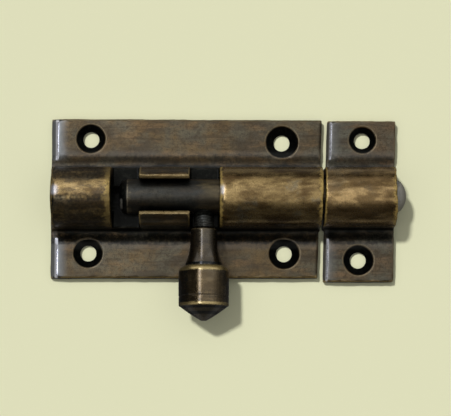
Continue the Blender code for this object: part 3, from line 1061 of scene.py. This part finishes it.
def knob_zones(points):
    outward = knob_axis().to_3x3() @ Vector((0, 0, 1))
    height = (points - np.array(knob_axis().translation)) @ np.array(outward)
    across = points[:, 0] - KNOB_X
    lower_edge = near(height, HEAD_START + 0.15 * MM, HEAD_START + 0.75 * MM, 0.6 * MM)
    upper_edge = near(height, HEAD_END - 0.5 * MM, HEAD_END - 0.15 * MM, 0.25 * MM)
    foot = 0.6 * near(height, KNOB_START, KNOB_START + 0.25 * MM, 0.2 * MM)
    toward_end = 0.36 * smoothstep(*HEAD_DARKENS, height)
    toward_end = toward_end * (height < HEAD_END - 0.55 * MM)
    # Painted shade on the head's flanks, fuller on the left.
    left = 0.62 * smoothstep(*HEAD_DARK_LEFT, -across)
    right = 0.5 * smoothstep(*HEAD_DARK_RIGHT, across)
    sides = (left + right) * near(height, HEAD_START, HEAD_END, 0.3 * MM)
    neck = near(height, STEM_TOP, HEAD_START - 0.1 * MM, 0.3 * MM) * 0.9
    cone_rings = 0.0
    for start, end in CONE_RINGS:
        ring = 0.7 * near(height, HEAD_END + start, HEAD_END + end, 0.2 * MM)
        cone_rings = highest(cone_rings, ring)
    return {
        "rim": highest(lower_edge, upper_edge, foot),
        "pit": highest(toward_end, sides, neck, cone_rings),
        "handled": near(height, HEAD_START, HEAD_END, 0.4 * MM) * 0.9,
        "dull": 0.4 * near(height, HEAD_END, KNOB_END + MM, 0.1 * MM),
    }


def add_knob():
    mesh = lathe("knob", knob_profile(), 150, knob_axis())
    add_wear(mesh, cad_tree("knob"), rays=3, **knob_zones(coordinates(mesh)))
    brass = AntiqueBrass("knob_brass", KNOB_LOOK).material
    return add_piece("worn_knob", mesh, brass, "bolt", "knob")


def thread(radius, height, angle):
    """How far the stud's thread cuts in, which leaves the middle of the stud's ends plain."""
    turn = (height / THREAD_PITCH - angle / math.tau) % 1.0
    return -THREAD_DEPTH * abs(2 * turn - 1) if radius > THREAD_FROM_RADIUS else 0.0


def add_stud():
    foot, top = STUD_ENDS
    profile = [(0, foot), (STUD_RADIUS, foot), (STUD_RADIUS, top), (0, top)]
    mesh = lathe("stud", profile, 96, knob_axis(), radius_change=thread, spacing=0.05 * MM)
    points = coordinates(mesh)
    from_axis = np.hypot(points[:, 1], points[:, 2] - BOLT_AXIS_Z)
    # Black where the stud leaves the rod, up to just beyond the rod's surface.
    pit = 1 - smoothstep(3.9 * MM, 4.3 * MM, from_axis)
    add_wear(mesh, cad_tree("bolt_rod"), rays=1, pit=pit)
    metal = AntiqueBrass("stud_metal", STUD_LOOK).material
    return add_piece("worn_stud", mesh, metal, "bolt", "knob_stud")


# ---------------------------------------------------------------- floor, lights and camera

FLOOR_HALF_WIDTH = 1.5
FLOOR_Z = -0.05 * MM
FLOOR_COLOUR = (0.78, 0.78, 0.53, 1.0)
BACKDROP_COLOUR = (0.72, 0.72, 0.49, 1)
SURROUND_STRENGTH = 0.045
OBJECT_MIDDLE = Vector((0.007, 0, 0.004))

# The light that the metal reflects comes from panels: name, angles from straight up towards +X
# and towards +Y in degrees, radiance, distance and colour.
WHITE = (1, 1, 1)
PANELS = (
    ("overhead", (-14, 46), (-28, 44), 0.92, 1.0, WHITE),
    ("overhead_peak", (-14, 34), (12, 30), 0.2, 0.98, (0.8, 0.95, 1.3)),
    ("front_low", (-14, 46), (-46, -28), 0.08, 1.0, (1.06, 0.98, 0.82)),
    ("front_far", (-40, 60), (-98, -46), 0.035, 1.0, WHITE),
    ("front_bounce", (-40, 60), (-136, -112), 0.16, 1.0, WHITE),
    ("left_front", (-78, -32), (-58, -6), 0.3, 1.0, WHITE),
    ("right_front", (50, 95), (-68, -30), 0.3, 1.0, WHITE),
    ("left_back", (-85, -38), (34, 84), 0.3, 1.0, WHITE),
    ("back_wall", (-40, 60), (44, 75), 0.82, 1.0, WHITE),
    ("back_low", (-40, 60), (93, 136), 0.24, 1.0, WHITE),
    ("right_high", (46, 60), (-26, 40), 0.55, 1.0, WHITE),
    ("right_wall", (60, 76), (-26, 40), 0.25, 1.0, WHITE),
    ("right_low", (78, 124), (-30, 50), 0.09, 1.0, WHITE),
    ("strip", (-23, -13), (-14, 46), 6.2, 0.96, (0.9, 0.94, 1.06)),
)

KEY_POWER = 2.1
KEY_ANGLE = math.radians(5)
KEY_FROM = (-17, 18)
FILL_POWER = 26.0
FILL_SIZE = 4.0
FILL_HEIGHT = 2.0

CAMERA_TILT = math.radians(5.5)
CAMERA_DISTANCE = 0.32
CAMERA_TARGET = Vector((0.00746, -0.0017, 0.0022))
SEEN_WIDTH = 0.0837
SENSOR_WIDTH = 36


def add_floor():
    built = bmesh.new()
    bmesh.ops.create_grid(built, x_segments=2, y_segments=2, size=FLOOR_HALF_WIDTH)
    mesh = bpy.data.meshes.new("floor")
    built.to_mesh(mesh)
    built.free()
    floor = new_object("floor", mesh)
    floor.location.z = FLOOR_Z
    ground = Nodes("pale_ground")
    ground.shader.inputs["Base Color"].default_value = FLOOR_COLOUR
    ground.shader.inputs["Roughness"].default_value = 1.0
    ground.shader.inputs["Specular IOR Level"].default_value = 0.0
    mesh.materials.append(ground.material)
    floor.visible_glossy = False
    floor.visible_shadow = False


def toward(from_x, from_y):
    """The unit direction whose angles from straight up are these, in degrees, towards +X and +Y."""
    sideways, along = math.radians(from_x), math.radians(from_y)
    level = math.cos(along)
    return Vector((level * math.sin(sideways), math.sin(along), level * math.cos(sideways)))


def add_light(name, data, direction, distance):
    """A light that faces the object from that direction, turned so that its sides follow the
    world's X and Y."""
    light = new_object(name, data)
    if abs(direction.y) < abs(direction.x):
        up = (Vector((0, 1, 0)) - direction * direction.y).normalized()
        across = up.cross(direction)
    else:
        across = (Vector((1, 0, 0)) - direction * direction.x).normalized()
        up = direction.cross(across)
    light.rotation_euler = Matrix((across, up, direction)).transposed().to_euler()
    light.location = OBJECT_MIDDLE + direction * distance
    return light


def add_panel(name, x_angles, y_angles, radiance, distance, colour):
    """A softbox that only glossy surfaces see, over these angles from straight up, in degrees."""
    half_x = math.radians(x_angles[1] - x_angles[0]) / 2
    half_y = math.radians(y_angles[1] - y_angles[0]) / 2
    data = bpy.data.lights.new(name, "AREA")
    data.shape = "RECTANGLE"
    data.size = 2 * distance * math.tan(half_x)
    data.size_y = 2 * distance * math.tan(half_y)
    data.energy = radiance * math.pi * data.size * data.size_y
    data.color = colour
    direction = toward(sum(x_angles) / 2, sum(y_angles) / 2)
    add_light(name, data, direction, distance).visible_diffuse = False


def add_world():
    """A faint white surround for the metal, and the floor's own colour beyond its edge."""
    world = bpy.data.worlds.new("studio")
    world.use_nodes = True
    nodes = world.node_tree.nodes
    surround = nodes["Background"]
    surround.inputs["Color"].default_value = (1, 1, 1, 1)
    surround.inputs["Strength"].default_value = SURROUND_STRENGTH
    backdrop = nodes.new("ShaderNodeBackground")
    backdrop.inputs["Color"].default_value = BACKDROP_COLOUR
    path = nodes.new("ShaderNodeLightPath")
    chosen = nodes.new("ShaderNodeMixShader")
    join = world.node_tree.links.new
    join(path.outputs["Is Camera Ray"], chosen.inputs["Fac"])
    join(surround.outputs[0], chosen.inputs[1])
    join(backdrop.outputs[0], chosen.inputs[2])
    join(chosen.outputs[0], nodes["World Output"].inputs["Surface"])
    bpy.context.scene.world = world


def add_lights():
    """A sun and a fill for the floor and the shadow, and the panels for the metal."""
    key = bpy.data.lights.new("key", "SUN")
    key.energy = KEY_POWER
    key.angle = KEY_ANGLE
    add_light("key", key, toward(*KEY_FROM), 1.0).visible_glossy = False
    fill = bpy.data.lights.new("fill", "AREA")
    fill.size = FILL_SIZE
    fill.energy = FILL_POWER
    add_light("fill", fill, toward(0, 0), FILL_HEIGHT).visible_glossy = False
    for panel in PANELS:
        add_panel(*panel)


def add_camera():
    data = bpy.data.cameras.new("camera")
    data.sensor_width = SENSOR_WIDTH
    data.lens = SENSOR_WIDTH * CAMERA_DISTANCE / SEEN_WIDTH
    camera = new_object("camera", data)
    from_target = Vector((0, -math.sin(CAMERA_TILT), math.cos(CAMERA_TILT)))
    camera.location = CAMERA_TARGET + CAMERA_DISTANCE * from_target
    camera.rotation_euler = (CAMERA_TILT, 0, 0)
    bpy.context.scene.camera = camera


add_section_piece(CASE)
add_section_piece(KEEP)
add_bolt()
add_knob()
add_stud()
add_floor()
add_world()
add_lights()
add_camera()
bpy.context.scene.view_settings.view_transform = "Standard"
